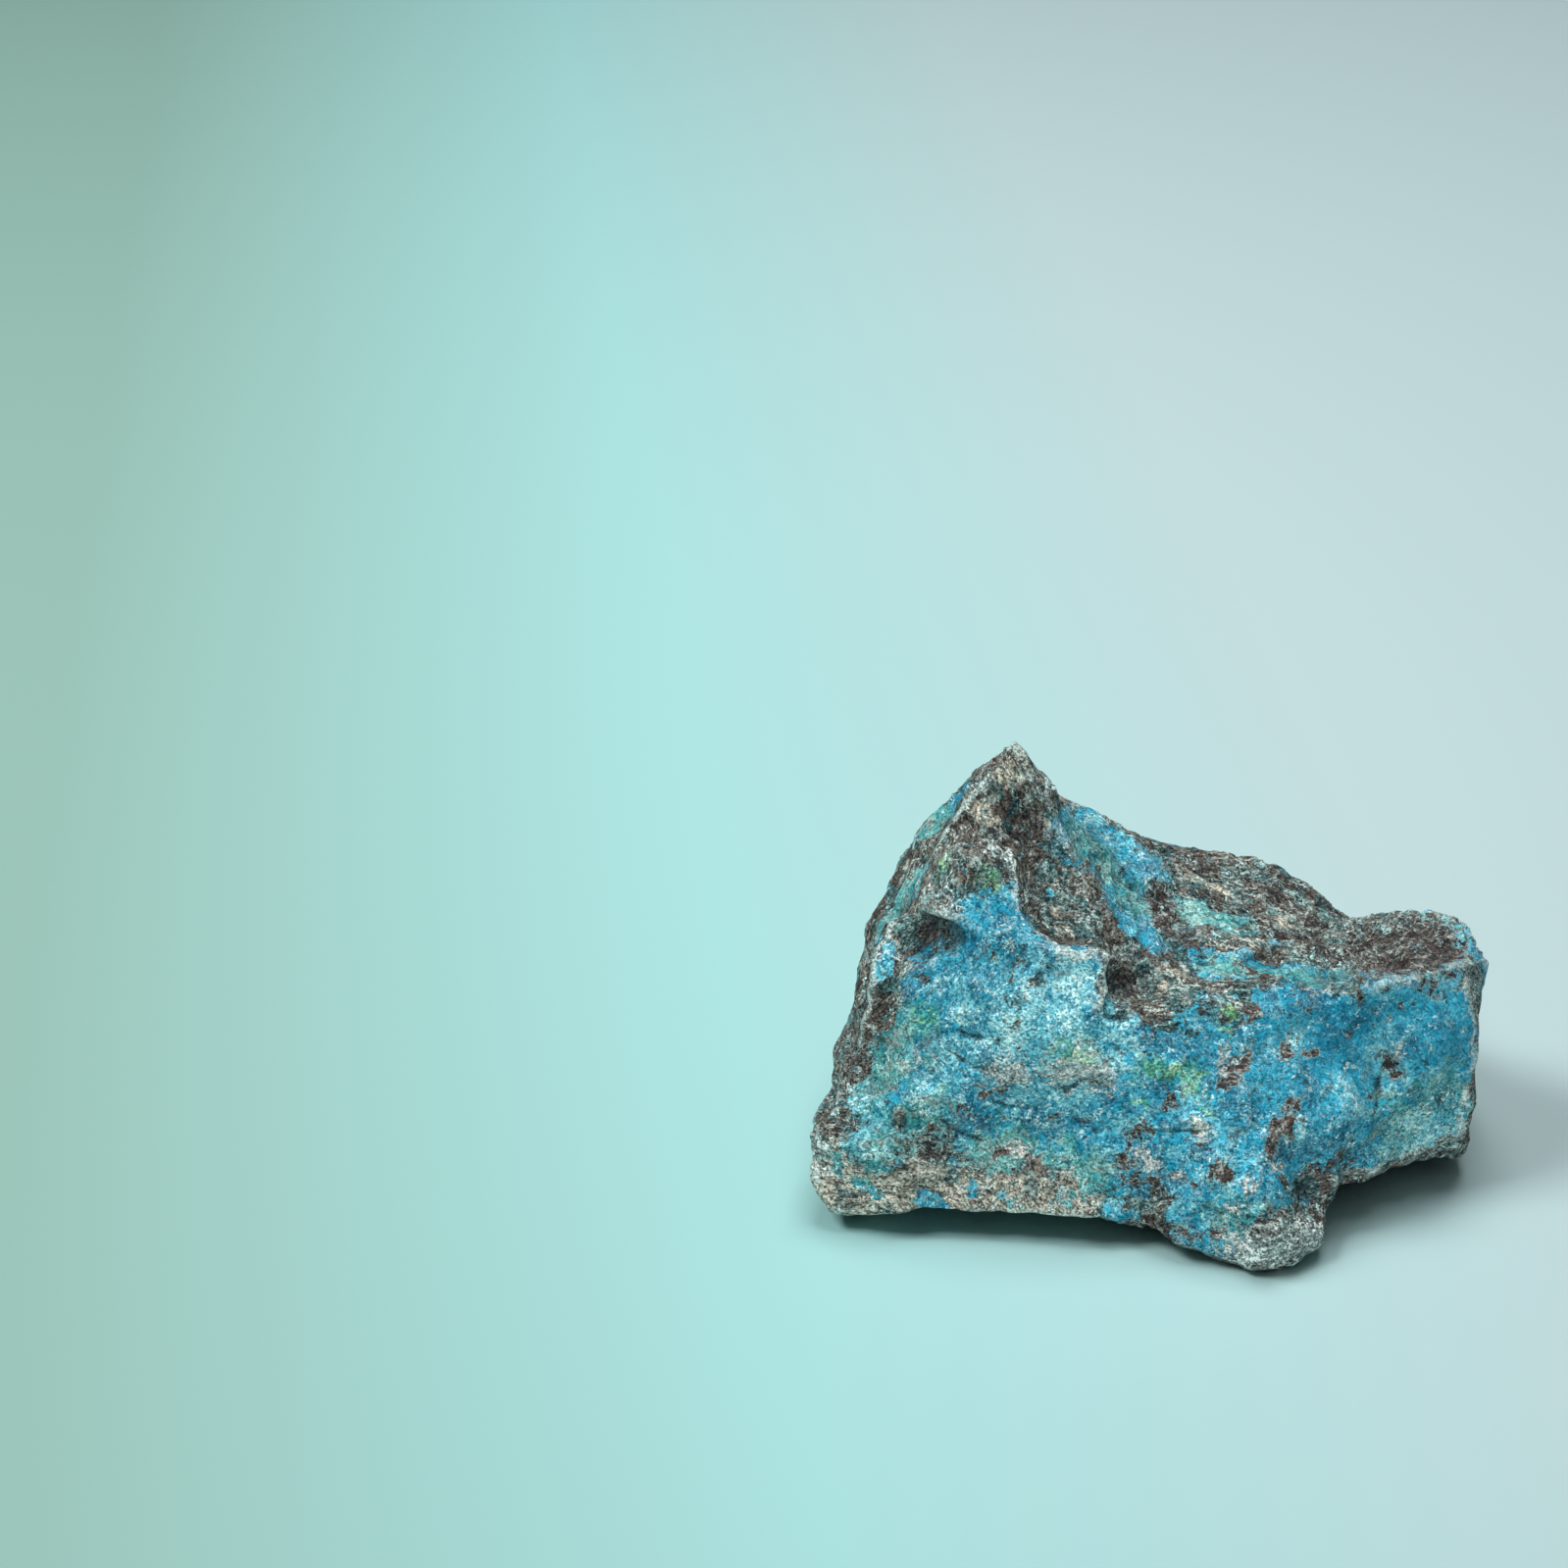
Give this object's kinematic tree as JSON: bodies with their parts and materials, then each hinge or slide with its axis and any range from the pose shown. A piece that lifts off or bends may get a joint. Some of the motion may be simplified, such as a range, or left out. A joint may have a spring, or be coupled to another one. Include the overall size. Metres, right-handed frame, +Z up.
{
  "type": "raw chrysocolla stone",
  "caption": "Rough blue and green mineral lump with a pointed peak, broken faces and small flat resting places underneath.",
  "frame": {"origin": "on the surface the stone rests on, under the middle of its bounding box", "axes": "+Z up, +X along the stone's longest side with the pointed peak at -X, -Y towards the blue front face"},
  "size_m": [0.1106, 0.0762, 0.0689],
  "materials": {
    "stone": "matt and broken, chalky in places"
  },
  "bodies": {
    "root": {"chrysocolla_stone": "stone"}
  },
  "joints": []
}
